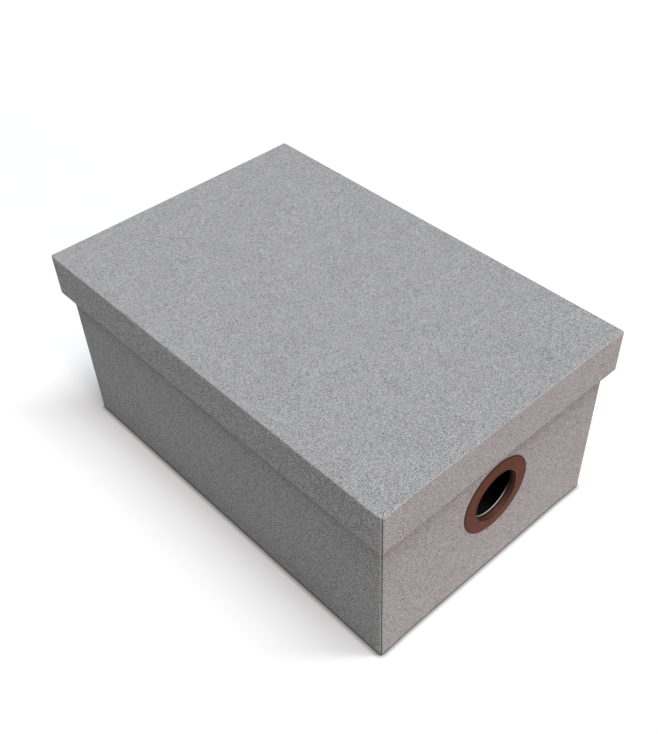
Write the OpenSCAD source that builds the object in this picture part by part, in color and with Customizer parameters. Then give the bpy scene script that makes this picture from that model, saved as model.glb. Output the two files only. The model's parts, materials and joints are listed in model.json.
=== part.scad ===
// Archival box with a lift-off lid. Greyboard panels are butted at the corners, held with
// stay tape, covered outside and lined inside. One short end has a finger hole with a
// two-piece metal eyelet.
// Origin: centre of the underside. X runs across, Y along (the eyelet end faces -Y), Z up.

/* [Box and lid] */
// Width of the lid over its covering
lid_w = 230; // [200:1:300]
// Length of the lid over its covering
lid_l = 350; // [250:1:450]
// Height of the closed box
total_h = 159; // [153:1:220]
// Depth of the lid's rim
lid_depth = 35; // [26:1:38]
// How far the lid stands out past the box on each side
overhang = 6; // [5.5:0.1:8]

/* [Boards and sheets] */
// Thickness of the greyboard panels
board_t = 2.5; // [2:0.1:3]
// Thickness of the covering sheets
cover_t = 0.5; // [0.3:0.05:0.6]
// Thickness of the lining paper and the base sheet
lining_t = 0.3; // [0.2:0.05:0.4]
// Thickness of the corner stay tape
stay_t = 0.2; // [0.1:0.05:0.3]
// Width of each leg of a corner stay
stay_leg = 25; // [15:1:30]
// Width of the covering that is turned in over a rim or under the base
turn_in = 18; // [12:1:20]
// Width of the tabs that the long sides wrap round the corners
tab_w = 15; // [10:1:20]
// Distance from a corner to the cut edge of an end's covering
seam_inset = 1; // [0.5:0.1:2]
// Distance from a rim to the edge of the lining
lining_inset = 4; // [3:1:8]
// Distance from the box's outer faces to the edge of the base sheet
base_inset = 3; // [2:0.5:6]

/* [Eyelet] */
// Outer diameter of the flange
flange_d = 63; // [58:1:66]
// Clear diameter through the barrel
hole_d = 40; // [30:0.5:41]
// Height of the flange's crown over the wall
flange_h = 1.3; // [1.1:0.1:1.6]
// Height of the flange's outer edge over the wall
flange_edge = 0.45; // [0.3:0.05:0.8]
// Radius of the rounded lip round the hole
lip_r = 1.1; // [0.8:0.1:1.1]
// Thickness of the barrel's wall
barrel_t = 0.8; // [0.6:0.1:1]
// Gap between the barrel and the hole punched for it
punch_gap = 0.2; // [0.1:0.05:0.3]
// Height of the hole's centre above the underside
eyelet_z = 79.5; // [45:0.5:80]
// Outer diameter of the washer behind the wall
washer_d = 58; // [52:1:60]
// Thickness of the washer
washer_t = 0.4; // [0.3:0.1:0.8]
// Width of the barrel's rolled end, out from the bore
roll_w = 2.6; // [2:0.1:3]
// Height of the barrel's rolled end
roll_h = 0.5; // [0.4:0.1:0.9]

/* [Hidden] */

$fn = 96;
LEFT = -1;
RIGHT = 1;
FRONT = -1;
REAR = 1;
eps = 0.01;

// A shell is the box or the lid: its boards' outer width, length and height.
// The ends carry the tabs and the end covering, so they are two covering layers thick.
box = [lid_w - 2 * overhang - 2 * cover_t,
       lid_l - 2 * overhang - 4 * cover_t,
       total_h - board_t - 3 * cover_t - 2 * lining_t];
lid = [lid_w - 2 * cover_t, lid_l - 4 * cover_t, lid_depth - 2 * cover_t];
box_z = lining_t + cover_t;  // underside of the box's boards
lid_z = total_h - cover_t;   // top of the lid's boards

bore_r = hole_d / 2;
punch_r = bore_r + barrel_t + punch_gap;
wall_t = cover_t + board_t + lining_t;
wall_y = -box.y / 2 - cover_t;  // outer face of the eyelet end's covering

greyboard = "#8d8478";
kraft = "#b08d62";
covering = "#a3a09c";
lining = "#5c5b58";
copper = "#7a4a3c";

// ---- Placing ----

// Shapes of a shell are drawn standing on the open side of its panel, rim up.
module in_box() translate([0, 0, box_z]) children();
module in_lid() translate([0, 0, lid_z]) mirror([0, 0, 1]) children();

// A shape drawn at the right (+X) or the rear (+Y), moved to a side or an end.
module at_side(side) mirror([side == LEFT ? 1 : 0, 0, 0]) children();
module at_end(end) mirror([0, end == FRONT ? 1 : 0, 0]) children();
module at_corner(side, end) at_side(side) at_end(end) children();

// A cuboid from one corner to the opposite one.
module span(low, high) translate(low) cube(high - low);

// A profile of radius and height out of the wall, turned round the eyelet's axis.
module on_eyelet_axis()
    translate([0, wall_y, eyelet_z]) rotate([90, 0, 0]) rotate_extrude() children();

module punched_hole()
    translate([0, wall_y, eyelet_z]) rotate([90, 0, 0])
        cylinder(r = punch_r, h = 4 * wall_t, center = true);

// ---- Boards and stays ----

// Tape folded round the right rear corner of a shell's boards.
module stay(shell) {
    x = shell.x / 2;
    y = shell.y / 2;
    span([x - stay_leg, y - stay_t, 0], [x, y, shell.z]);
    span([x - stay_t, y - stay_leg, 0], [x, y, shell.z]);
}

// Boards are pressed in by the tape's thickness where the stays lie.
module pressed_by_stays(shell) difference() {
    children();
    for (side = [LEFT, RIGHT], end = [FRONT, REAR])
        at_corner(side, end) translate([0, 0, -eps]) stay(shell + [0, 0, 2 * eps]);
}

module side_board(shell, foot) pressed_by_stays(shell)
    span([shell.x / 2 - board_t, -shell.y / 2, foot], [shell.x / 2, shell.y / 2, shell.z]);

module end_board(shell, foot) pressed_by_stays(shell)
    span([board_t - shell.x / 2, shell.y / 2 - board_t, foot],
         [shell.x / 2 - board_t, shell.y / 2, shell.z]);

// ---- Covering ----

// Plan of an end's covering where it folds over a rim or under the base, mitred towards
// an inner edge of half length inner_x at inner_y. It stands out over the tabs.
module end_fold_plan(shell, inner_x, inner_y) {
    corner_x = shell.x / 2 + cover_t - seam_inset;
    step_x = shell.x / 2 - tab_w - cover_t;
    face_y = shell.y / 2 + cover_t;
    polygon([
        [-corner_x, face_y + cover_t], [-step_x, face_y + cover_t], [-step_x, face_y],
        [step_x, face_y], [step_x, face_y + cover_t], [corner_x, face_y + cover_t],
        [inner_x, inner_y], [-inner_x, inner_y]
    ]);
}

module end_rim_plan(shell)
    end_fold_plan(shell, shell.x / 2 - board_t - cover_t, shell.y / 2 - board_t - cover_t);

module end_foot_plan(shell)
    end_fold_plan(shell, shell.x / 2 + cover_t - seam_inset - turn_in,
                  shell.y / 2 + 2 * cover_t - turn_in);

// The rear end's sheet: up the face over the tabs, over the rim and down inside.
module end_sheet(shell) {
    tab_x = shell.x / 2 - tab_w;
    corner_x = shell.x / 2 + cover_t - seam_inset;
    face_y = shell.y / 2;
    inside = [shell.x / 2 - board_t - cover_t, shell.y / 2 - board_t];
    span([-tab_x, face_y, -cover_t], [tab_x, face_y + cover_t, shell.z + cover_t]);
    for (side = [LEFT, RIGHT]) at_side(side)
        span([tab_x - cover_t, face_y + cover_t, -cover_t],
             [corner_x, face_y + 2 * cover_t, shell.z + cover_t]);
    translate([0, 0, shell.z]) linear_extrude(cover_t) end_rim_plan(shell);
    span([-inside.x, inside.y - cover_t, shell.z - turn_in],
         [inside.x, inside.y, shell.z + cover_t]);
}

// The right side's sheet: tabs round both corners, over the rim and down inside.
module side_sheet(shell) {
    face_x = shell.x / 2;
    corner_y = shell.y / 2 + cover_t;
    inside = [shell.x / 2 - board_t, shell.y / 2 - board_t];
    span([face_x, -corner_y, -cover_t], [face_x + cover_t, corner_y, shell.z + cover_t]);
    for (end = [FRONT, REAR]) at_end(end)
        span([face_x - tab_w, corner_y - cover_t, 0], [face_x + cover_t, corner_y, shell.z]);
    difference() {
        span([inside.x - cover_t, -corner_y, shell.z],
             [face_x + cover_t, corner_y, shell.z + cover_t]);
        for (end = [FRONT, REAR]) at_end(end)
            translate([0, 0, shell.z - eps]) linear_extrude(cover_t + 2 * eps)
                end_rim_plan(shell);
    }
    span([inside.x - cover_t, -inside.y, shell.z - turn_in],
         [inside.x, inside.y, shell.z]);
}

// Where the right side's sheet is turned under the base, mitred to meet the ends.
module side_foot(shell) difference() {
    span([shell.x / 2 + cover_t - turn_in, -shell.y / 2 - cover_t, -cover_t],
         [shell.x / 2 + cover_t, shell.y / 2 + cover_t, 0]);
    for (end = [FRONT, REAR]) at_end(end)
        translate([0, 0, -cover_t - eps]) linear_extrude(cover_t + 2 * eps)
            end_foot_plan(shell);
}

module box_side_cover() {
    side_sheet(box);
    side_foot(box);
}

module box_end_cover() {
    end_sheet(box);
    translate([0, 0, -cover_t]) linear_extrude(cover_t) end_foot_plan(box);
}

// ---- Lining ----

module wall_ring(size, thickness) difference() {
    square(size, center = true);
    square(size - 2 * [thickness, thickness], center = true);
}

// Paper round the inside of the walls, stepping out over the turned-in covering.
module lining_walls(shell) {
    inside = [shell.x - 2 * board_t, shell.y - 2 * board_t];
    over_turn_in = inside - 2 * [cover_t, cover_t];
    step_z = shell.z - turn_in;
    translate([0, 0, board_t]) linear_extrude(step_z - board_t)
        wall_ring(inside, lining_t);
    translate([0, 0, step_z - lining_t]) linear_extrude(lining_t)
        wall_ring(inside, cover_t + lining_t);
    translate([0, 0, step_z - lining_t])
        linear_extrude(turn_in + cover_t - lining_inset + lining_t)
            wall_ring(over_turn_in, lining_t);
}

// Paper on the open side of a shell's panel, inside the wall lining.
module lining_panel(shell) {
    half = [shell.x / 2 - board_t - lining_t, shell.y / 2 - board_t - lining_t];
    span([-half.x, -half.y, board_t], [half.x, half.y, board_t + lining_t]);
}

// ---- Box ----

module base_board() color(greyboard) in_box()
    span([board_t - box.x / 2, board_t - box.y / 2, 0],
         [box.x / 2 - board_t, box.y / 2 - board_t, board_t]);

module front_board() color(greyboard) difference() {
    in_box() at_end(FRONT) end_board(box, 0);
    punched_hole();
}

module rear_board() color(greyboard) in_box() at_end(REAR) end_board(box, 0);
module left_board() color(greyboard) in_box() at_side(LEFT) side_board(box, 0);
module right_board() color(greyboard) in_box() at_side(RIGHT) side_board(box, 0);

module box_stay(side, end) color(kraft) in_box() at_corner(side, end) stay(box);

module left_cover() color(covering) in_box() at_side(LEFT) box_side_cover();
module right_cover() color(covering) in_box() at_side(RIGHT) box_side_cover();
module rear_cover() color(covering) in_box() at_end(REAR) box_end_cover();

module front_cover() color(covering) difference() {
    in_box() at_end(FRONT) box_end_cover();
    punched_hole();
}

// Flat underneath, and pressed up to the board inside the turned-under covering.
module base_sheet() color(covering) {
    half = [box.x / 2 + cover_t - base_inset, box.y / 2 + 2 * cover_t - base_inset];
    opening = [box.x / 2 + cover_t - seam_inset - turn_in, box.y / 2 + 2 * cover_t - turn_in];
    span([-half.x, -half.y, 0], [half.x, half.y, lining_t]);
    span([-opening.x, -opening.y, 0], [opening.x, opening.y, box_z]);
}

module wall_lining() color(lining) difference() {
    in_box() lining_walls(box);
    punched_hole();
}

module floor_lining() color(lining) in_box() lining_panel(box);

// ---- Eyelet ----

// Points of an arc about a centre, from one angle to another.
function arc(centre, r, from, to, steps = 8) =
    [for (i = [0:steps]) let (a = from + (to - from) * i / steps)
        centre + r * [cos(a), sin(a)]];

// Points of the flange's low crown, from the lip out to the edge.
function crown(steps = 8) = let (
        inner = bore_r + lip_r,
        width = flange_d / 2 - inner,
        drop = flange_h - flange_edge)
    [for (i = [1:steps]) [inner + width * i / steps, flange_h - drop * pow(i / steps, 2)]];

module eyelet() color(copper) on_eyelet_axis() {
    back = -wall_t - washer_t;
    polygon(concat(
        arc([bore_r + lip_r, flange_h - lip_r], lip_r, 180, 90),
        crown(),
        [[flange_d / 2, 0], [bore_r + barrel_t, 0], [bore_r + barrel_t, back],
         [bore_r + roll_w, back]],
        arc([bore_r + roll_w - roll_h / 2, back - roll_h / 2], roll_h / 2, 0, -90),
        [[bore_r, back - roll_h]]
    ));
}

module eyelet_washer() color(copper) on_eyelet_axis()
    translate([punch_r, -wall_t - washer_t]) square([washer_d / 2 - punch_r, washer_t]);

// ---- Lid ----

module lid_top_board() color(greyboard) in_lid() pressed_by_stays(lid)
    span([-lid.x / 2, -lid.y / 2, 0], [lid.x / 2, lid.y / 2, board_t]);

module lid_front_board() color(greyboard) in_lid() at_end(FRONT) end_board(lid, board_t);
module lid_rear_board() color(greyboard) in_lid() at_end(REAR) end_board(lid, board_t);
module lid_left_board() color(greyboard) in_lid() at_side(LEFT) side_board(lid, board_t);
module lid_right_board() color(greyboard) in_lid() at_side(RIGHT) side_board(lid, board_t);

module lid_stay(side, end) color(kraft) in_lid() at_corner(side, end) stay(lid);

module lid_cover() color(covering) in_lid() {
    for (side = [LEFT, RIGHT]) at_side(side) side_sheet(lid);
    for (end = [FRONT, REAR]) at_end(end) end_sheet(lid);
    translate([0, 0, -cover_t]) linear_extrude(cover_t) {
        square([lid.x + 2 * cover_t, lid.y + 2 * cover_t], center = true);
        for (end = [FRONT, REAR]) at_end(end) end_rim_plan(lid);
    }
}

module lid_lining() color(lining) in_lid() {
    lining_walls(lid);
    lining_panel(lid);
}

// ---- Nodes ----

base_board();
front_board();
rear_board();
left_board();
right_board();
box_stay(LEFT, FRONT);  // front_left_stay
box_stay(RIGHT, FRONT);  // front_right_stay
box_stay(LEFT, REAR);  // rear_left_stay
box_stay(RIGHT, REAR);  // rear_right_stay
left_cover();
right_cover();
front_cover();
rear_cover();
base_sheet();
wall_lining();
floor_lining();
eyelet();
eyelet_washer();
lid_top_board();
lid_front_board();
lid_rear_board();
lid_left_board();
lid_right_board();
lid_stay(LEFT, FRONT);  // lid_front_left_stay
lid_stay(RIGHT, FRONT);  // lid_front_right_stay
lid_stay(LEFT, REAR);  // lid_rear_left_stay
lid_stay(RIGHT, REAR);  // lid_rear_right_stay
lid_cover();
lid_lining();
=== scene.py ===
import json
import math

import bmesh
import bpy
from mathutils import Matrix, Vector, noise


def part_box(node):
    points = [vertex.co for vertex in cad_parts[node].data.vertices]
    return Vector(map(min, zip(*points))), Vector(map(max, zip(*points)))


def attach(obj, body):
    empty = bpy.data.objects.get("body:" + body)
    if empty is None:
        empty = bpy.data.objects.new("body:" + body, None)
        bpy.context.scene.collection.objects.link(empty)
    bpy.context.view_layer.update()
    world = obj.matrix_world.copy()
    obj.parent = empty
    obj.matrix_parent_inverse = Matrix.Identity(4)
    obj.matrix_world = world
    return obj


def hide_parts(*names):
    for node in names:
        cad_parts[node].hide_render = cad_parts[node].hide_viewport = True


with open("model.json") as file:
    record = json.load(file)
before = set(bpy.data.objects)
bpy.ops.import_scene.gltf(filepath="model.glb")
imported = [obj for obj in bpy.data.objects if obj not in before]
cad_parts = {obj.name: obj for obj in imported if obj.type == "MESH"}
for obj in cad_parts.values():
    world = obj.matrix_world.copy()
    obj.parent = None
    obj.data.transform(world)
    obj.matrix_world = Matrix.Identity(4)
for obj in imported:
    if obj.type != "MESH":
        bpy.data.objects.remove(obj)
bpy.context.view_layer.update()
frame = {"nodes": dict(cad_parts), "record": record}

MM = 0.001
SCENE = bpy.context.scene

# ---------------------------------------------------------------- sizes from the frame

LOW, HIGH = 0, 1           # the two corners of a node's box

RIGHT_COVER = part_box("right_cover")
REAR_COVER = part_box("rear_cover")
LID_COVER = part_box("lid_cover")
LID_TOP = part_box("lid_top_board")
FRONT_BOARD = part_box("front_board")
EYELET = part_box("eyelet")
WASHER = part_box("eyelet_washer")
MOUNTS = {mount["name"]: mount for mount in frame["record"]["mounts"]}

COVER_T = LID_COVER[HIGH].z - LID_TOP[HIGH].z
BOARD_T = LID_TOP[HIGH].z - LID_TOP[LOW].z
TURN_IN = RIGHT_COVER[HIGH].x - RIGHT_COVER[LOW].x
SEAM_INSET = RIGHT_COVER[HIGH].x - REAR_COVER[HIGH].x
SIDE_RIM = BOARD_T + 2 * COVER_T       # how thick a side's wall is, with both its coverings
END_RIM = BOARD_T + 3 * COVER_T        # the same for an end, whose covering lies over tabs
WALL_Y = FRONT_BOARD[LOW].y - COVER_T  # the covering's face under the eyelet's flange
EYELET_Z = (EYELET[LOW].z + EYELET[HIGH].z) / 2
BORE_R = MOUNTS["finger_hole"]["dims"]["r_mm"] * MM
PUNCH_MARGIN = 1.0 * MM    # how much wider than the bore the wall is punched
PUNCH_R = BORE_R + PUNCH_MARGIN

# ---------------------------------------------------------------- sizes chosen here

TAB_W = 15 * MM            # how far a side's tabs reach round the corners
SHEET_T = 0.9 * COVER_T    # thickness of the drawn covering, a little under the CAD's
FOLD_R = 1.0 * MM          # outside radius of a fold in the covering
FOOT_R = 0.6 * MM          # the same along the foot, where the box is set down
FOLD_STEPS = 5
GRID = 4.5 * MM            # spacing of the covering's meshes
UNDULATION = 0.10 * MM     # how far the glued covering dips below flat
MITRE_GAP = 0.12 * MM      # gap between two turn-ins that meet in a corner
RAGGED = 0.14 * MM         # how far an end sheet's cut edges wander
EDGE_PRESS = 0.08 * MM     # how far they are pressed down
TAB_SLOPE = 14 * MM        # how long an end sheet takes to come down off a tab's thickness
TAB_SLOPE_PAST = 4 * MM    # how much of that slope still lies over the tab
HOLE_SQUARE = 40 * MM      # half the square of grid that is rebuilt round the eyelet's hole
HOLE_RINGS = 6
PASTED_GRID = 8 * MM       # spacing of the linings' meshes
PASTED_DIP = 0.06 * MM     # how far a lining dips below flat
WELD = 1e-6                # vertices this close together are one
TINY = 1e-9                # slack in comparing two lengths
SHARP = math.radians(38)   # a folded sheet's edges over this angle stay sharp
SHARP_TURNED = math.radians(50)
TURNED_SEGMENTS = 224

# How crisp the covering's grain is: the sides' is the coarsest and strongest, the ends' the softest.
# The sides' stronger grain contrast is partly painted light, standing for raking light on the relief.
GRAIN_TOP, GRAIN_SIDE, GRAIN_END = 0.50, 1.0, 0.35


class Shell:
    """The outside of the box's or the lid's covering."""

    def __init__(self, half_x, half_y, low, high, low_shade_high):
        self.half_x = half_x
        self.half_y = half_y              # over the ends' covering
        self.tab_y = half_y - COVER_T     # over the tabs, under the ends' covering
        self.seam_x = half_x - SEAM_INSET
        self.low = low
        self.high = high
        self.low_shade_high = low_shade_high        # how far up its lower edge carries painted shade


BOX = Shell(RIGHT_COVER[HIGH].x, REAR_COVER[HIGH].y, RIGHT_COVER[LOW].z, RIGHT_COVER[HIGH].z,
            3.2 * MM)
LID = Shell(LID_COVER[HIGH].x, LID_COVER[HIGH].y, LID_COVER[LOW].z, LID_COVER[HIGH].z,
            1.0 * MM)

# ---------------------------------------------------------------- camera, floor and light

VIEW_AZIMUTH = math.radians(-42.722)
VIEW_ELEVATION = math.radians(45.061)
VIEW_ROLL = math.radians(-1.298)
VIEW_DISTANCE = 3.2320     # in widths of the lid
VIEW_SIDEWAYS = 0.0900     # the same
VIEW_UPWARDS = -0.1199     # the same
LENS = 47.63
SHIFT = (-0.0339, 0.0579)

STRIP_AZIMUTH = 47
STRIP_ELEVATIONS = (62, 70, 78, 86)
COOL = (0.960, 1.0, 1.045)    # colours of the lights
WARM = (1.30, 0.91, 0.80)
WHITE = (1, 1, 1, 1)
BLACK = (0, 0, 0, 1)
AMBIENT = 0.03                # strength of the light from all round

FLOOR_HALF = 30.0
FLOOR_SHOWN = (0.965, 0.95, 0.925, 1)    # the floor's colour where the camera sees it
FLOOR_THROWN = (0.58, 0.58, 0.57, 1)     # and where it throws light back on the box
FLOOR_GLOW = 0.06
CONTACT = 4 * MM           # how far the floor's painted contact shadow reaches out from the foot
CONTACT_DEPTH = 1.7        # how fast that painted shadow darkens towards the foot


def add_camera():
    """A camera at the viewing angle, aimed past the middle of the box."""
    width = 2 * LID.half_x
    sin_a, cos_a = math.sin(VIEW_AZIMUTH), math.cos(VIEW_AZIMUTH)
    sin_e, cos_e = math.sin(VIEW_ELEVATION), math.cos(VIEW_ELEVATION)
    back = Vector((sin_a * cos_e, -cos_a * cos_e, sin_e))
    level = Vector((cos_a, sin_a, 0))
    upright = back.cross(level)
    right = level * math.cos(VIEW_ROLL) + upright * math.sin(VIEW_ROLL)
    up = upright * math.cos(VIEW_ROLL) - level * math.sin(VIEW_ROLL)
    middle = Vector((0, 0, LID.high / 2))
    data = bpy.data.cameras.new("camera")
    data.lens = LENS
    data.shift_x, data.shift_y = SHIFT
    data.clip_start = 0.01
    camera = bpy.data.objects.new("camera", data)
    place = middle + width * (back * VIEW_DISTANCE + right * VIEW_SIDEWAYS + up * VIEW_UPWARDS)
    turn = Matrix((right, up, back)).transposed().to_4x4()
    camera.matrix_world = Matrix.Translation(place) @ turn
    SCENE.collection.objects.link(camera)
    SCENE.camera = camera


def add_sun(name, azimuth, elevation, spread, strength, colour):
    """A soft light from far away, its angles in degrees. Azimuth 0 is from -Y and 90 from +X."""
    a, e = math.radians(azimuth), math.radians(elevation)
    towards = Vector((math.sin(a) * math.cos(e), -math.cos(a) * math.cos(e), math.sin(e)))
    data = bpy.data.lights.new(name, "SUN")
    data.angle = math.radians(spread)
    data.energy = strength
    data.color = colour
    sun = bpy.data.objects.new(name, data)
    sun.rotation_euler = towards.to_track_quat("Z", "Y").to_euler()
    SCENE.collection.objects.link(sun)


def shown_and_lighting(tree, shown, lighting):
    """One shader for what the camera sees directly and another for the light it gives."""
    path = tree.nodes.new("ShaderNodeLightPath")
    mix = tree.nodes.new("ShaderNodeMixShader")
    tree.links.new(path.outputs["Is Camera Ray"], mix.inputs[0])
    tree.links.new(lighting.outputs[0], mix.inputs[1])
    tree.links.new(shown.outputs[0], mix.inputs[2])
    return mix.outputs[0]


def add_light():
    """A tall cool strip at the right, a steep cool light and a low warm one on the eyelet's end."""
    for elevation in STRIP_ELEVATIONS:
        add_sun("strip", STRIP_AZIMUTH, elevation, spread=9, strength=0.39, colour=COOL)
    add_sun("steep", azimuth=-28, elevation=70, spread=35, strength=1.70, colour=COOL)
    add_sun("front", azimuth=-4, elevation=13, spread=9, strength=0.835, colour=WARM)
    world = bpy.data.worlds.new("studio")
    world.use_nodes = True
    tree = world.node_tree
    tree.nodes.clear()
    shown = tree.nodes.new("ShaderNodeBackground")
    shown.inputs["Color"].default_value = WHITE
    lighting = tree.nodes.new("ShaderNodeBackground")
    lighting.inputs["Color"].default_value = WHITE
    lighting.inputs["Strength"].default_value = AMBIENT
    out = tree.nodes.new("ShaderNodeOutputWorld")
    tree.links.new(shown_and_lighting(tree, shown, lighting), out.inputs["Surface"])
    SCENE.world = world


def add_floor():
    """A plain pale floor that the box stands on, with a painted contact shadow close round the foot.

    It throws less light back on the box than it shows."""
    mesh = bpy.data.meshes.new("floor")
    half = FLOOR_HALF
    mesh.from_pydata([(-half, -half, 0), (half, -half, 0), (half, half, 0), (-half, half, 0)],
                     [], [(0, 1, 2, 3)])
    floor = bpy.data.objects.new("floor", mesh)
    SCENE.collection.objects.link(floor)
    material = bpy.data.materials.new("floor")
    material.use_nodes = True
    tree = material.node_tree
    tree.nodes.clear()
    # Painted contact shadow: the floor's seen colour darkens close to the box.
    contact_shade = tree.nodes.new("ShaderNodeAmbientOcclusion")
    contact_shade.samples = 12
    contact_shade.inputs["Distance"].default_value = CONTACT
    deeper = tree.nodes.new("ShaderNodeMath")
    deeper.operation = "POWER"
    deeper.inputs[1].default_value = CONTACT_DEPTH
    dimmed = tree.nodes.new("ShaderNodeMix")
    dimmed.data_type = "RGBA"
    dimmed.inputs[6].default_value = BLACK
    dimmed.inputs[7].default_value = FLOOR_SHOWN
    lit = tree.nodes.new("ShaderNodeBsdfDiffuse")
    glow = tree.nodes.new("ShaderNodeEmission")
    glow.inputs["Strength"].default_value = FLOOR_GLOW
    shown = tree.nodes.new("ShaderNodeAddShader")
    thrown = tree.nodes.new("ShaderNodeBsdfDiffuse")
    thrown.inputs["Color"].default_value = FLOOR_THROWN
    out = tree.nodes.new("ShaderNodeOutputMaterial")
    tree.links.new(contact_shade.outputs["AO"], deeper.inputs[0])
    tree.links.new(deeper.outputs[0], dimmed.inputs[0])
    tree.links.new(dimmed.outputs[2], lit.inputs["Color"])
    tree.links.new(lit.outputs[0], shown.inputs[0])
    tree.links.new(glow.outputs[0], shown.inputs[1])
    tree.links.new(shown_and_lighting(tree, shown, thrown), out.inputs["Surface"])
    mesh.materials.append(material)


# ---------------------------------------------------------------- material helpers


class Nodes:
    """Short calls for building a material's nodes."""

    def __init__(self, name):
        self.material = bpy.data.materials.new(name)
        self.material.use_nodes = True
        self.tree = self.material.node_tree
        self.shader = self.tree.nodes["Principled BSDF"]
        self.place = self.add("ShaderNodeTexCoord").outputs["Object"]

    def add(self, kind, **settings):
        node = self.tree.nodes.new(kind)
        for key, value in settings.items():
            setattr(node, key, value)
        return node

    def plug(self, value, socket):
        """Links a socket, or sets a number or colour."""
        if isinstance(value, bpy.types.NodeSocket):
            self.tree.links.new(value, socket)
        elif isinstance(value, tuple) and len(value) == 3 and socket.type == "RGBA":
            socket.default_value = (*value, 1)
        else:
            socket.default_value = value

    def noise(self, scale, detail=2.0, rough=0.5, place=None, distortion=0.0):
        node = self.add("ShaderNodeTexNoise")
        self.plug(place or self.place, node.inputs["Vector"])
        self.plug(scale, node.inputs["Scale"])
        self.plug(detail, node.inputs["Detail"])
        self.plug(rough, node.inputs["Roughness"])
        self.plug(distortion, node.inputs["Distortion"])
        return node.outputs["Fac"]

    def voronoi(self, scale, output="Distance", place=None):
        node = self.add("ShaderNodeTexVoronoi")
        self.plug(place or self.place, node.inputs["Vector"])
        self.plug(scale, node.inputs["Scale"])
        return node.outputs[output]

    def stretched(self, scale, turn=(0, 0, 0)):
        """The place, turned and stretched, for streaks, fibres and patterns that differ."""
        node = self.add("ShaderNodeMapping")
        self.plug(self.place, node.inputs["Vector"])
        node.inputs["Rotation"].default_value = turn
        node.inputs["Scale"].default_value = scale
        return node.outputs[0]

    def ramp(self, value, low, high, to_low=0.0, to_high=1.0):
        """Maps low to high smoothly onto to_low to to_high."""
        node = self.add("ShaderNodeMapRange", interpolation_type="SMOOTHSTEP")
        for socket, v in zip(node.inputs, (value, low, high, to_low, to_high)):
            self.plug(v, socket)
        return node.outputs[0]

    def math(self, operation, a, b=0.0):
        node = self.add("ShaderNodeMath", operation=operation)
        self.plug(a, node.inputs[0])
        self.plug(b, node.inputs[1])
        return node.outputs[0]

    def mix(self, share, a, b):
        """Colour a where share is 0 and b where it is 1."""
        node = self.add("ShaderNodeMix", data_type="RGBA")
        for socket, v in zip((node.inputs[0], node.inputs[6], node.inputs[7]), (share, a, b)):
            self.plug(v, socket)
        return node.outputs[2]

    def attribute(self, name):
        """An amount that the mesh carries, or 0 where it carries none."""
        return self.add("ShaderNodeAttribute", attribute_name=name).outputs["Fac"]

    def bump(self, height, distance, strength):
        node = self.add("ShaderNodeBump")
        self.plug(height, node.inputs["Height"])
        node.inputs["Distance"].default_value = distance
        node.inputs["Strength"].default_value = strength
        return node.outputs[0]

    def finish(self, **sockets):
        """Plugs the shader's named sockets and gives the material."""
        for name, value in sockets.items():
            self.plug(value, self.shader.inputs[name.replace("_", " ")])
        return self.material


# ---------------------------------------------------------------- materials


def flecks(n, spacing, size, share, salt):
    """Small specks scattered through the sheet: 1 in a speck and 0 elsewhere.

    Only about the given share of the cells hold one, and their sizes differ. The salt turns
    the pattern, so that no two kinds of speck fall together."""
    place = n.stretched((1, 1, 1), (salt, 1.3 * salt, 0.7 * salt))
    wobble = n.noise(900, 1.0, place=place)
    far = n.voronoi(1 / spacing, place=place)
    far = n.math("ADD", far, n.math("MULTIPLY", n.math("SUBTRACT", wobble, 0.5), 0.12))
    pick = n.add("ShaderNodeSeparateColor")
    n.plug(n.voronoi(1 / spacing, output="Color", place=place), pick.inputs[0])
    radius = n.ramp(pick.outputs[0], 0.0, 1.0, 0.45 * size / spacing, 1.2 * size / spacing)
    inside = n.math("SUBTRACT", radius, far)
    mask = n.ramp(inside, 0.0, 0.25 * size / spacing)
    chosen = n.math("LESS_THAN", pick.outputs[1], share)
    return n.math("MULTIPLY", mask, chosen)


def hairs(n, salt):
    """Short curved fibres a few millimetres long: 1 on a fibre and 0 elsewhere."""
    place = n.stretched((1, 1, 1), (salt, 0.8 * salt, 1.4 * salt))
    swirl = n.noise(170, 1.0, place=place)
    off = n.math("ABSOLUTE", n.math("SUBTRACT", swirl, 0.5))
    line = n.ramp(off, 0.008, 0.035, 1.0, 0.0)
    piece = n.ramp(n.noise(330, 1.0, place=place), 0.56, 0.62)
    return n.math("MULTIPLY", line, piece)


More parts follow.
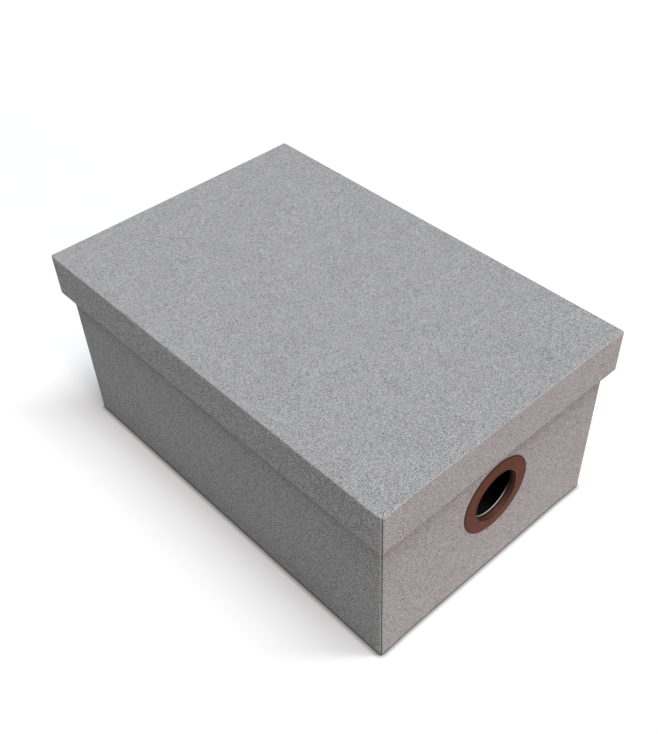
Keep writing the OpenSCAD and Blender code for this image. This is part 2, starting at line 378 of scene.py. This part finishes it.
def covering_material():
    """Grey recycled-fibre sheet: matted grain, dark and light specks, and faint dyed patches.

    The meshes say how crisp the grain is, partly as painted raking light; where folds are worn and
    carry a painted highlight; where cut edges are dark with dirt and painted shade; and where the
    lower edge is darkened by painted shade."""
    n = Nodes("covering")
    fine = n.noise(1800, 3.0, 0.7, distortion=0.6)
    coarse = n.noise(1350, 3.0, 0.7, distortion=0.6)
    on_side = n.ramp(n.attribute("crisp"), 0.6, 1.0)
    fibre = n.math("ADD", n.math("MULTIPLY", coarse, on_side),
                   n.math("MULTIPLY", fine, n.math("SUBTRACT", 1.0, on_side)))
    pulp = n.noise(430, 2.0, 0.5)
    cloud = n.noise(60, 3.0, 0.55)
    tone = n.math("ADD", n.math("MULTIPLY", fibre, 0.92), n.math("MULTIPLY", pulp, 0.06))
    tone = n.math("ADD", tone, n.math("MULTIPLY", cloud, 0.02))
    # Partly painted light: the grain's contrast is strongest on the sides, for raking light on the
    # relief.
    spread = n.ramp(n.attribute("crisp"), 0.0, 1.0, 0.095, 0.045)
    tone = n.ramp(tone, n.math("SUBTRACT", 0.5, spread), n.math("ADD", 0.5, spread))
    colour = n.mix(tone, (0.105, 0.104, 0.102), (0.610, 0.606, 0.598))
    tints = ((0.36, 0.38, 0.50), (0.47, 0.37, 0.37), (0.36, 0.41, 0.36))
    for i, tint in enumerate(tints):
        patch = n.noise(240, 2.0, 0.5, place=n.stretched((1, 1, 1), (0.9 * i, 0.4, 1.7 * i)))
        colour = n.mix(n.ramp(patch, 0.54, 0.74, 0.0, 0.24), colour, tint)
    pale = flecks(n, 2.4 * MM, 0.30 * MM, 0.22, 0.4)
    colour = n.mix(n.math("MULTIPLY", pale, 0.65), colour, (0.70, 0.69, 0.68))
    for salt, shade_of_hair in ((0.2, (0.62, 0.61, 0.60)), (2.3, (0.15, 0.145, 0.14))):
        colour = n.mix(n.math("MULTIPLY", hairs(n, salt), 0.4), colour, shade_of_hair)
    dark = flecks(n, 3.2 * MM, 0.42 * MM, 0.22, 1.1)
    colour = n.mix(n.math("MULTIPLY", dark, 0.7), colour, (0.08, 0.075, 0.07))
    big_dark = flecks(n, 9 * MM, 0.6 * MM, 0.24, 1.7)
    colour = n.mix(n.math("MULTIPLY", big_dark, 0.85), colour, (0.03, 0.027, 0.025))
    # Folds are drawn lighter: wear, and a painted highlight on their rounded edge.
    fold = n.math("MULTIPLY", n.attribute("fold"), n.ramp(pulp, 0.3, 0.7, 0.15, 0.5))
    colour = n.mix(fold, colour, (0.50, 0.49, 0.475))
    uneven = n.ramp(pulp, 0.35, 0.65, 0.75, 1.0)
    # Dark cut edges: dirt and a dark joint, with painted shade in the gap beside them.
    cut = n.math("MULTIPLY", n.attribute("cut"), uneven)
    colour = n.mix(cut, colour, (0.075, 0.065, 0.06))
    # Painted shade: the lower edges of the box and the lid are darkened.
    low_shade = n.math("MULTIPLY", n.attribute("low_shade"), uneven)
    colour = n.mix(low_shade, colour, (0.045, 0.043, 0.041))
    relief = n.math("ADD", n.math("MULTIPLY", fibre, 0.6), n.math("MULTIPLY", pulp, 0.4))
    relief = n.math("ADD", relief, n.math("MULTIPLY", pale, 0.3))
    return n.finish(Base_Color=colour, Roughness=n.ramp(cloud, 0.2, 0.8, 0.86, 0.96),
                    Normal=n.bump(relief, 0.25 * MM, 0.6), Specular_IOR_Level=0.2,
                    Sheen_Weight=0.08, Sheen_Roughness=0.6)


def lining_material():
    """Smooth uncoated paper with a soft laid grain and few specks. Its charcoal tone is
    painted shade, so that the box's dim inside stays dark.
    """
    n = Nodes("lining")
    fibre = n.noise(420, 3.0, 0.6, place=n.stretched((1, 0.45, 1), (0, 0, 0.1)))
    cloud = n.noise(35, 3.0)
    colour = n.mix(n.ramp(fibre, 0.3, 0.7), (0.090, 0.088, 0.084), (0.125, 0.122, 0.116))
    colour = n.mix(n.ramp(cloud, 0.3, 0.7, 0.0, 0.4), colour, (0.086, 0.082, 0.076))
    speck = flecks(n, 5 * MM, 0.4 * MM, 0.25, 0.9)
    colour = n.mix(n.math("MULTIPLY", speck, 0.5), colour, (0.25, 0.24, 0.22))
    return n.finish(Base_Color=colour, Roughness=n.ramp(fibre, 0.2, 0.8, 0.8, 0.92),
                    Normal=n.bump(fibre, 0.12 * MM, 0.4), Specular_IOR_Level=0.3)


def greyboard_material():
    """Solid grey pulp board, coarse and specked."""
    n = Nodes("greyboard")
    pulp = n.noise(260, 4.0, 0.6)
    layers = n.noise(900, 2.0, place=n.stretched((0.2, 0.2, 1)))
    colour = n.mix(n.ramp(pulp, 0.3, 0.7), (0.20, 0.18, 0.155), (0.27, 0.245, 0.215))
    colour = n.mix(n.ramp(layers, 0.35, 0.65, 0.0, 0.3), colour, (0.17, 0.15, 0.13))
    speck = flecks(n, 4 * MM, 0.6 * MM, 0.35, 1.9)
    colour = n.mix(n.math("MULTIPLY", speck, 0.6), colour, (0.09, 0.08, 0.07))
    return n.finish(Base_Color=colour, Roughness=n.ramp(pulp, 0.2, 0.8, 0.85, 0.95),
                    Normal=n.bump(pulp, 0.3 * MM, 0.5), Specular_IOR_Level=0.2)


def stay_material():
    """Brown gummed paper tape with long fibres."""
    n = Nodes("stay_tape")
    fibre = n.noise(500, 3.0, 0.6, place=n.stretched((1, 1, 0.25)))
    colour = n.mix(n.ramp(fibre, 0.3, 0.7), (0.30, 0.185, 0.09), (0.38, 0.245, 0.13))
    return n.finish(Base_Color=colour, Roughness=n.ramp(fibre, 0.2, 0.8, 0.6, 0.8),
                    Normal=n.bump(fibre, 0.1 * MM, 0.4), Specular_IOR_Level=0.35)


def copper_material():
    """Plated copper-brown metal, satin, with turned streaks and tarnish, worn edges with painted
    highlights on the lip and rings, painted shade, and a painted highlight low at the back.
    """
    n = Nodes("eyelet_metal")
    patch = n.noise(130, 4.0, 0.6)
    streak = n.noise(900, 3.0, 0.6, place=n.stretched((1, 0.3, 0.25), (0, 0.6, 0)))
    grit = n.noise(2600, 2.0)
    colour = n.mix(n.ramp(patch, 0.35, 0.65), (0.190, 0.062, 0.036), (0.150, 0.064, 0.045))
    mottle = n.ramp(n.noise(420, 2.0), 0.5, 0.65, 0.0, 0.5)
    colour = n.mix(mottle, colour, (0.168, 0.088, 0.063))
    colour = n.mix(n.ramp(streak, 0.4, 0.7, 0.0, 0.45), colour, (0.225, 0.078, 0.043))
    # Lip and rings drawn lighter: wear, and a painted highlight.
    rubbed_and_highlight = n.math("MULTIPLY", n.attribute("rubbed_and_highlight"), n.ramp(patch, 0.2, 0.8, 0.5, 0.9))
    colour = n.mix(rubbed_and_highlight, colour, (0.52, 0.31, 0.24))
    # Painted shade: darker under the flange's outer edge, in the barrel and on the lower lip.
    colour = n.mix(n.attribute("painted_shade"), colour, (0.028, 0.014, 0.010))
    # Painted highlight: a pale crescent low on the barrel's back rim.
    painted_highlight = n.attribute("painted_highlight")
    colour = n.mix(painted_highlight, colour, (0.80, 0.68, 0.64))
    rough = n.ramp(n.math("ADD", n.math("MULTIPLY", streak, 0.6), n.math("MULTIPLY", patch, 0.4)),
                   0.3, 0.7, 0.38, 0.54)
    rough = n.math("ADD", rough, n.math("MULTIPLY", n.attribute("painted_shade"), 0.35))
    # The metal is drawn less metallic where shade and the back highlight are painted.
    less_metal = n.math("ADD", painted_highlight, n.math("MULTIPLY", n.attribute("painted_shade"), 0.6))
    return n.finish(Base_Color=colour, Metallic=n.math("SUBTRACT", 1.0, less_metal), Roughness=rough,
                    Normal=n.bump(n.math("ADD", n.math("MULTIPLY", grit, 0.5), streak),
                                  0.05 * MM, 0.25), Specular_Tint=(0.91, 0.72, 0.69))


MATERIALS = {
    "covering": covering_material(),
    "lining": lining_material(),
    "greyboard": greyboard_material(),
    "stay_tape": stay_material(),
    "eyelet_metal": copper_material(),
}

# ---------------------------------------------------------------- mesh helpers


def add_piece(name, mesh, slot, body, *replaced):
    """Shows a mesh as the piece that stands for the given CAD nodes."""
    piece = bpy.data.objects.new(name, mesh)
    SCENE.collection.objects.link(piece)
    mesh.materials.append(MATERIALS[slot])
    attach(piece, body)
    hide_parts(*replaced)


def stations(start, end, through=()):
    """Positions from start to end, no more than GRID apart, with a few that must be met."""
    stops = [start, *through, end]
    found = [start]
    for a, b in zip(stops, stops[1:]):
        count = max(1, math.ceil(abs(b - a) / GRID - 1e-6))
        found += [a + (b - a) * i / count for i in range(1, count + 1)]
    return found


class Sample:
    """A point on a folded outline, with the direction it faces and the run it is on."""

    def __init__(self, place, facing, run, bend):
        self.place = place
        self.facing = facing
        self.run = run      # which straight run, or the run before the bend that it is in
        self.bend = bend    # 0 at the ends of a bend and 1 halfway round it, else 0


def folded(corners, through=None, first=FOLD_R):
    """Samples a polyline that turns right at each corner, with the corners rounded.

    through maps a run's number to shares of that run where a sample has to be, and first is
    the radius at the first corner."""
    points = [Vector(c) for c in corners]
    runs = [(b - a).normalized() for a, b in zip(points, points[1:])]
    samples = []
    last = len(runs) - 1
    radius = 0.0
    for i, along in enumerate(runs):
        start = points[i] + along * radius
        radius = first if i == 0 else FOLD_R
        end = points[i + 1] - (along * radius if i < last else Vector((0, 0)))
        facing = Vector((-along.y, along.x))
        length = (end - start).length
        if length > TINY:
            wanted = [s * length for s in (through or {}).get(i, ())]
            for s in stations(0, length, wanted):
                samples.append(Sample(start + along * s, facing, i, 0.0))
        if i < last:
            turn = runs[i + 1]
            centre = end + turn * radius
            for k in range(1, FOLD_STEPS):
                a = math.pi / 2 * k / FOLD_STEPS
                out = along * math.sin(a) - turn * math.cos(a)
                samples.append(Sample(centre + out * radius, out, i + 0.5, math.sin(2 * a)))
            if i + 1 == last and (points[last + 1] - points[last]).length <= radius + TINY:
                samples.append(Sample(centre + along * radius, along, last, 0.0))
    return samples


def smoothstep(x):
    """0 below 0, 1 above 1 and a smooth rise between."""
    x = min(max(x, 0.0), 1.0)
    return x * x * (3 - 2 * x)


class SheetMesh:
    """The outer surface of a folded sheet, built patch by patch and then given its thickness."""

    def __init__(self, shell, low_shade_depth):
        self.shell = shell
        self.low_shade_depth = low_shade_depth    # how dark the painted shade along the lower edge is, from 0 to 1
        self.bm = bmesh.new()
        layers = self.bm.verts.layers.float
        self.fold = layers.new("fold")      # how worn it is along a fold, where it is also painted lighter as a highlight
        self.cut = layers.new("cut")        # how dark it is along a cut edge and the gap beside it: dark joint with dirt, and painted shade
        self.low_shade = layers.new("low_shade")
        self.crisp = layers.new("crisp")

    def vertex(self, place, fold=0.0, cut=0.0):
        v = self.bm.verts.new(place)
        v[self.fold] = fold
        v[self.cut] = cut
        # Painted shade along the lower edge, fading out towards the top of its band.
        up = (place[2] - self.shell.low) / self.shell.low_shade_high
        v[self.low_shade] = self.low_shade_depth * (1 - smoothstep((up - 0.35) / 0.65))
        on_top = place[2] > self.shell.high - FOLD_R
        on_side = abs(place[0]) > self.shell.seam_x
        v[self.crisp] = GRAIN_TOP if on_top else GRAIN_SIDE if on_side else GRAIN_END
        return v

    def grid(self, rows, cols, point):
        """Adds quads between rows and columns. point gives (place, fold, cut), or None for a gap."""
        table = []
        for r in rows:
            made = [point(r, c) for c in cols]
            table.append([m and self.vertex(*m) for m in made])
        for upper, lower in zip(table, table[1:]):
            for a, b, c, d in zip(upper, upper[1:], lower[1:], lower):
                if a and b and c and d:
                    self.bm.faces.new((a, b, c, d))

    def finish(self, name, flip=False):
        """Welds the patches, lets them dip here and there, and gives the sheet's solid mesh."""
        bm = self.bm
        bmesh.ops.remove_doubles(bm, verts=bm.verts[:], dist=WELD)
        bmesh.ops.dissolve_degenerate(bm, edges=bm.edges[:], dist=WELD / 10)
        bmesh.ops.delete(bm, geom=[v for v in bm.verts if not v.link_faces], context="VERTS")
        if flip:
            bmesh.ops.reverse_faces(bm, faces=bm.faces[:])
        bm.normal_update()
        for v in bm.verts:
            slow = noise.noise(v.co * 14) + 0.5 * noise.noise(v.co * 45)
            quick = noise.noise(v.co * 150)
            v.co -= v.normal * UNDULATION * (0.5 + 0.28 * slow + 0.15 * quick)
        mesh = bpy.data.meshes.new(name)
        bm.to_mesh(mesh)
        bm.free()
        return thickened(mesh)


def thickened(mesh):
    """The sheet's mesh with its inner side and cut edges, smooth but for the sharp edges."""
    carrier = bpy.data.objects.new("carrier", mesh)
    SCENE.collection.objects.link(carrier)
    solidify = carrier.modifiers.new("thickness", "SOLIDIFY")
    solidify.thickness = SHEET_T
    solidify.offset = -1
    solidify.use_even_offset = True
    solid = bpy.data.meshes.new_from_object(
        carrier.evaluated_get(bpy.context.evaluated_depsgraph_get()))
    bpy.data.objects.remove(carrier)
    solid.name = mesh.name
    bpy.data.meshes.remove(mesh)
    shade(solid, SHARP)
    return solid


def shade(mesh, sharp):
    """Smooth faces, with the edges over the given angle kept sharp."""
    bm = bmesh.new()
    bm.from_mesh(mesh)
    for face in bm.faces:
        face.smooth = True
    for edge in bm.edges:
        edge.smooth = len(edge.link_faces) == 2 and edge.calc_face_angle(0) < sharp
    bm.to_mesh(mesh)
    bm.free()


# ---------------------------------------------------------------- the covering


def side_columns(shell):
    """Round the right side in plan: rear tab, fold, side, fold, front tab."""
    x, y = shell.half_x, shell.tab_y
    return folded([(x - TAB_W, y), (x, y), (x, -y), (x - TAB_W, -y)])


def side_point(shell, half_run, rows):
    """Gives the side sheet's surface at a row of its upright profile and a column of its plan.

    The corner folds shrink to a point where the upright profile has gone in by their radius."""
    middle = (shell.low + shell.high) / 2
    closed = {}     # how far in the first row past that point is, in the lower and upper half
    for upper in (False, True):
        past = [row.place.x for row in rows
                if (row.place.y > middle) == upper and row.place.x > FOLD_R - TINY]
        closed[upper] = min(past)

    def point(row, col):
        inset, z = row.place
        on_tab = col.run in (0, 2)
        in_corner = col.run in (0.5, 1.5)
        if on_tab and inset > TINY or in_corner and inset > closed[z > middle] + TINY:
            return None
        x, y = col.place - col.facing * min(inset, FOLD_R)
        if inset > FOLD_R:
            x = shell.half_x - inset
            gap = MITRE_GAP * min(1, inset / SIDE_RIM)
            y *= (half_run - (inset - FOLD_R) - gap) / half_run
        on_mitre = inset > FOLD_R and abs(abs(col.place.y) - half_run) < WELD
        cut = 0.6 if on_mitre else 0.0
        # Painted shade: the tabs and the last of each corner fold, in the gap beside an end sheet's
        # edge, are darkened.
        if col.run != 1:
            cut = 0.9 * smoothstep((abs(col.facing.y) - 0.75) / 0.2)
        return (x, y, z), max(row.bend, col.bend), cut

    return point


def end_point(shell, half_run):
    """Gives the rear end sheet's surface at a row of its upright profile and a place along it."""
    slope = (half_run - shell.half_x + SIDE_RIM) / (END_RIM - FOLD_R)

    def point(row, x_face):
        inset, z = row.place
        share = abs(x_face) / half_run
        ragged = RAGGED * noise.noise(Vector((x_face * 30, 7.1, z * 260)))
        x = x_face + math.copysign(ragged * smoothstep((share - 0.97) / 0.03), x_face)
        if inset > FOLD_R:
            reach = half_run - (inset - FOLD_R) * slope - MITRE_GAP
            if row.run == 0 and inset > END_RIM:
                reach = half_run - (inset - FOLD_R) - MITRE_GAP
            x *= reach / half_run
        slope_end = shell.half_x - TAB_W + TAB_SLOPE_PAST
        # The end sheet's cut edge is darkened: dirt, and painted shade of the gap under it.
        edge = smoothstep((share - 0.995) / 0.005)
        dip = COVER_T * smoothstep((slope_end - abs(x_face)) / TAB_SLOPE) + EDGE_PRESS * edge
        y = shell.half_y - inset - dip * max(0.0, 1 - inset / FOLD_R)
        return (x, y, z), row.bend, edge

    return point


def end_stations(half_run, through=()):
    """Places along an end's sheet, closer together at its cut edges."""
    near = [half_run - 3 * MM, half_run - 0.5 * MM]
    middle = stations(-near[0], near[0], through)
    return [-half_run, -near[1], *middle, near[1], half_run]


BOX_FACE = BOX.high - BOX.low - FOOT_R - FOLD_R          # height of the walls between the folds
# share of the wall's height that the painted shade at the foot covers
LOW_SHADE_SHARE = (BOX.low_shade_high - FOOT_R) / BOX_FACE
FOLD_SHARE = (TURN_IN - FOLD_R) / (TURN_IN - FOOT_R)     # where a corner's fold ends underneath


def box_rows(rim, upright):
    """The box covering's upright profile: from under the base, up, over the rim and down inside.

    upright lists shares of the wall's height where a sample has to be."""
    corners = [(TURN_IN, BOX.low), (0, BOX.low), (0, BOX.high), (rim, BOX.high),
               (rim, BOX.high - COVER_T - TURN_IN)]
    return folded(corners, {0: [FOLD_SHARE], 1: upright}, FOOT_R)


def build_box_side(name, mirrored):
    """A long side's covering with its tabs. It is built at the right and mirrored for the left."""
    rows = box_rows(SIDE_RIM, [LOW_SHADE_SHARE])
    sheet = SheetMesh(BOX, low_shade_depth=1.0)
    sheet.grid(rows, side_columns(BOX), side_point(BOX, BOX.tab_y - FOLD_R, rows))
    if mirrored:
        for v in sheet.bm.verts:
            v.co.x = -v.co.x
    mesh = sheet.finish(name, flip=not mirrored)
    add_piece(name + "_sheet", mesh, "covering", "box", name)


def build_box_end(name, front):
    """An end's covering. It is built at the rear and mirrored, with its hole, for the front."""
    hole_shares = [(EYELET_Z + s * HOLE_SQUARE - BOX.low - FOOT_R) / BOX_FACE for s in (-1, 1)]
    rows = box_rows(END_RIM, [LOW_SHADE_SHARE] + (hole_shares if front else []))
    cols = end_stations(BOX.seam_x, (-HOLE_SQUARE, HOLE_SQUARE) if front else ())
    sheet = SheetMesh(BOX, low_shade_depth=0.75)
    sheet.grid(rows, cols, end_point(BOX, BOX.seam_x))
    if front:
        punch(sheet)
        for v in sheet.bm.verts:
            v.co.y = -v.co.y
    mesh = sheet.finish(name, flip=True)
    add_piece(name + "_sheet", mesh, "covering", "box", name)


def punch(sheet):
    """Opens a round hole in an end's sheet, in the middle of a square of its grid."""
    bm = sheet.bm
    bm.normal_update()

    def inside(p, slack):
        return max(abs(p.x), abs(p.z - EYELET_Z)) < HOLE_SQUARE + slack

    slack = 10 * WELD
    doomed = [f for f in bm.faces if inside(f.calc_center_median(), -slack)
              and abs(f.normal.y) > 0.9 and f.calc_center_median().y > BOX.half_y - 2 * COVER_T]
    bmesh.ops.delete(bm, geom=doomed, context="FACES")
    rim = [e for e in bm.edges if len(e.link_faces) == 1
           and all(inside(v.co, slack) for v in e.verts)]
    ladder = {}     # from each vertex of the square's rim, the vertices in to the hole's edge
    for v in dict.fromkeys(v for e in rim for v in e.verts):
        out = Vector((v.co.x, 0, v.co.z - EYELET_Z))
        target = out.normalized() * PUNCH_R + Vector((0, v.co.y, EYELET_Z))
        steps = [v.co.lerp(target, k / HOLE_RINGS) for k in range(1, HOLE_RINGS + 1)]
        ladder[v] = [v] + [sheet.vertex(place) for place in steps]
    for e in rim:
        a, b = e.verts
        for k in range(HOLE_RINGS):
            bm.faces.new((ladder[a][k], ladder[b][k], ladder[b][k + 1], ladder[a][k + 1]))
    bmesh.ops.recalc_face_normals(bm, faces=bm.faces[:])


def build_lid_cover():
    """The lid's covering: one cross-shaped sheet, its flaps folded down and turned in."""
    shell = LID

    def profile(rim):
        """From inside the rim, down, under it, up and onto the top."""
        return folded([(rim, shell.low + COVER_T + TURN_IN), (rim, shell.low), (0, shell.low),
                       (0, shell.high), (FOLD_R, shell.high)])

    cols = side_columns(shell)
    xs = end_stations(shell.seam_x)
    sheet = SheetMesh(shell, low_shade_depth=0.45)
    side_rows = profile(SIDE_RIM)
    end_rows = profile(END_RIM)
    right = side_point(shell, shell.tab_y - FOLD_R, side_rows)
    sheet.grid(side_rows, cols, right)

    def left_point(row, col):
        made = right(row, col)
        if made:
            (x, y, z), fold, cut = made
            return (-x, y, z), fold, cut

    sheet.grid(side_rows, cols[::-1], left_point)
    rear = end_point(shell, shell.seam_x)
    sheet.grid(end_rows, xs, rear)

    def front_point(row, x):
        (px, py, pz), fold, cut = rear(row, x)
        return (px, -py, pz), fold, cut

    sheet.grid(end_rows, xs[::-1], front_point)
    end_y = shell.half_y - FOLD_R
    ys = sorted({round(c.place.y, 9) for c in cols if c.run == 1})
    ys = [-end_y, *ys, end_y]
    sheet.grid(ys, xs, lambda y, x: ((x, y, shell.high), 0.0, 0.0))
    bmesh.ops.remove_doubles(sheet.bm, verts=sheet.bm.verts[:], dist=2 * WELD)
    bmesh.ops.recalc_face_normals(sheet.bm, faces=sheet.bm.faces[:])
    mesh = sheet.finish("lid_cover")
    add_piece("lid_cover_sheet", mesh, "covering", "lid", "lid_cover")


# ---------------------------------------------------------------- linings and the base sheet


def build_pasted(name, body):
    """A pasted-in sheet: the CAD solid cut into a fine grid, with the dips of paper on glue."""
    bm = bmesh.new()
    bm.from_mesh(frame["nodes"][name].data)
    low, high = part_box(name)
    for axis in range(3):
        count = max(1, round((high[axis] - low[axis]) / PASTED_GRID))
        normal = Vector([float(axis == i) for i in range(3)])
        for k in range(1, count):
            place = normal * (low[axis] + (high[axis] - low[axis]) * k / count)
            parts = bm.verts[:] + bm.edges[:] + bm.faces[:]
            bmesh.ops.bisect_plane(bm, geom=parts, plane_co=place, plane_no=normal, dist=WELD)
    bm.normal_update()
    for v in bm.verts:
        slow = noise.noise(v.co * 20) + 0.5 * noise.noise(v.co * 70)
        v.co -= v.normal * PASTED_DIP * (0.5 + 0.33 * slow)
    mesh = bpy.data.meshes.new(name)
    bm.to_mesh(mesh)
    bm.free()
    shade(mesh, SHARP)
    slots = {part["node"]: part["material_slot"] for part in frame["record"]["subparts"]}
    add_piece(name + "_paper", mesh, slots[name], body, name)


# ---------------------------------------------------------------- the eyelet


def arc(centre, radius, start, end, steps):
    """Points of an arc, from one angle in degrees to another."""
    points = []
    for i in range(steps + 1):
        a = math.radians(start + (end - start) * i / steps)
        points.append((centre[0] + radius * math.cos(a), centre[1] + radius * math.sin(a)))
    return points


def turned(name, outline, wear):
    """A ring turned about the eyelet's axis from a closed outline of (radius, height), in mm.

    Heights are above the wall's face. wear gives three amounts for a point, each from 0 to 1:
    worn and painted lighter as a highlight, painted shade, and painted highlight. They follow from
    its radius, its height and how far up the ring it is, from -1 to 1."""
    bm = bmesh.new()
    layers = [bm.verts.layers.float.new(kind) for kind in ("rubbed_and_highlight", "painted_shade", "painted_highlight")]
    rings = []
    for i in range(TURNED_SEGMENTS):
        a = 2 * math.pi * i / TURNED_SEGMENTS
        ring = []
        for r, h in outline:
            v = bm.verts.new((r * MM * math.cos(a), WALL_Y - h * MM, EYELET_Z + r * MM * math.sin(a)))
            for layer, amount in zip(layers, wear(r, h, math.sin(a))):
                v[layer] = amount
            ring.append(v)
        rings.append(ring)
    for i, ring in enumerate(rings):
        other = rings[(i + 1) % TURNED_SEGMENTS]
        for k in range(len(outline)):
            m = (k + 1) % len(outline)
            bm.faces.new((ring[k], ring[m], other[m], other[k]))
    bmesh.ops.recalc_face_normals(bm, faces=bm.faces[:])
    mesh = bpy.data.meshes.new(name)
    bm.to_mesh(mesh)
    bm.free()
    shade(mesh, SHARP_TURNED)
    return mesh


def bell(x, middle, width):
    """1 at the middle, falling smoothly to almost nothing at twice the width from it."""
    return math.exp(-((x - middle) / width) ** 2)


def build_eyelet():
    """A domed flange with a beaded lip, a barrel and its end rolled over the washer."""
    edge = EYELET[HIGH].x / MM
    crown = (WALL_Y - EYELET[LOW].y) / MM
    back = (WALL_Y - EYELET[HIGH].y) / MM
    bore = BORE_R / MM
    hem_r = 0.28           # rounding of the flange's outer edge
    bead_r = 0.55          # rounding of the lip round the hole
    bead = (bore + 1.25, crown - bead_r)
    valley = (bead[0] + 1.3, crown - 0.34)
    outline = arc((edge - hem_r, hem_r), hem_r, -60, 80, 8)
    dome = (edge - 0.5, 2 * hem_r)
    dome_steps = 16
    for i in range(1, dome_steps + 1):
        s = i / dome_steps
        rise = math.sin(s * math.pi / 2) ** 0.85
        outline.append((dome[0] + (valley[0] - dome[0]) * s, dome[1] + (valley[1] - dome[1]) * rise))
    outline += arc(bead, bead_r, 40, 180, 10)
    pressed = (-0.4, -1.3)    # heights of the two rings pressed into the barrel's mouth
    for h in pressed:
        mean = bore + 0.62 + 0.2 * h
        outline += [(mean + 0.05, h + 0.16), (mean - 0.06, h + 0.04), (mean - 0.06, h - 0.04),
                    (mean + 0.03, h - 0.16)]
    outline += [(bore + 0.28, -1.6), (bore + 0.14, -2.3), (bore + 0.04, -2.9)]
    highlight_from = -3.3          # the painted highlight lies below this height
    outline += [(bore, h) for h in (-3.15, highlight_from, -3.6, -3.8)]
    roll = (EYELET[HIGH].y - WASHER[HIGH].y) / MM / 2
    outline += arc((bore + roll, back + roll), roll, 180, 270, 5)
    outline += arc((bore + 2.2, back + roll), roll, 270, 380, 6)
    outside = bore + 0.75
    outline += [(bore + 0.9, back + 2 * roll), (outside, -3.0), (outside, 0.05)]

    def wear(r, h, up):
        """Worn and painted lighter on its lip and rings, painted shade in the barrel, at the edge and
        on the lower lip, and a painted highlight low at the back.
        """
        inside = r < bore + 0.7
        # The lip's painted highlight is strongest at the top and gone low down.
        lip = max(0.0, 0.4 + 0.5 * up) * bell(r, bead[0] - 0.3, 0.28) if h > 0.5 else 0.0
        lines = max(bell(h, ring, 0.15) for ring in pressed) * 0.5 if inside else 0.0
        # Painted shade under the flange's outer edge, in the barrel and on the lower lip.
        painted_shade = bell(r, edge + 0.1, 0.65) if h < 0.7 else 0.0
        if inside and h < 0.4:
            painted_shade = 0.88 * (1 - lines)
        elif r < bead[0]:
            painted_shade = 0.6 * smoothstep(-2 * up)
        # Painted highlight on the barrel's back rim, on its lower side only.
        low_down = smoothstep((-0.3 - up) / 0.5)
        painted_highlight = smoothstep((highlight_from - h) / 0.2) * low_down if inside else 0.0
        return max(lip, lines), painted_shade * (1 - painted_highlight), painted_highlight

    mesh = turned("eyelet_ring", outline, wear)
    add_piece("eyelet_ring", mesh, "eyelet_metal", "box", "eyelet")


def build_washer():
    """A flat ring behind the wall, with a softened edge and a slightly dished back."""
    outer = WASHER[HIGH].x / MM
    front = (WALL_Y - WASHER[LOW].y) / MM
    back = (WALL_Y - WASHER[HIGH].y) / MM
    inner = PUNCH_R / MM
    soft = 0.2      # rounding of its outer edge
    hollow = 0.06   # how far its back is dished
    outline = [(inner, front), (outer - 0.05, front)]
    outline += arc((outer - soft, back + soft), soft, 0, -90, 4)
    outline += [(outer - 1.2, back + hollow), (inner + 3, back + hollow), (inner, back)]
    mesh = turned("washer_ring", outline, lambda r, h, up: (0.0, 0.2, 0.0))
    add_piece("washer_ring", mesh, "eyelet_metal", "box", "eyelet_washer")


# ---------------------------------------------------------------- making it all

SCENE.view_settings.view_transform = "Standard"
add_camera()
add_light()
add_floor()

for subpart in frame["record"]["subparts"]:
    node_object = frame["nodes"][subpart["node"]]
    node_object.data.materials.clear()
    node_object.data.materials.append(MATERIALS[subpart["material_slot"]])

build_box_side("right_cover", False)
build_box_side("left_cover", True)
build_box_end("rear_cover", False)
build_box_end("front_cover", True)
build_lid_cover()
for node_name in ("wall_lining", "floor_lining", "base_sheet"):
    build_pasted(node_name, "box")
build_pasted("lid_lining", "lid")
build_eyelet()
build_washer()
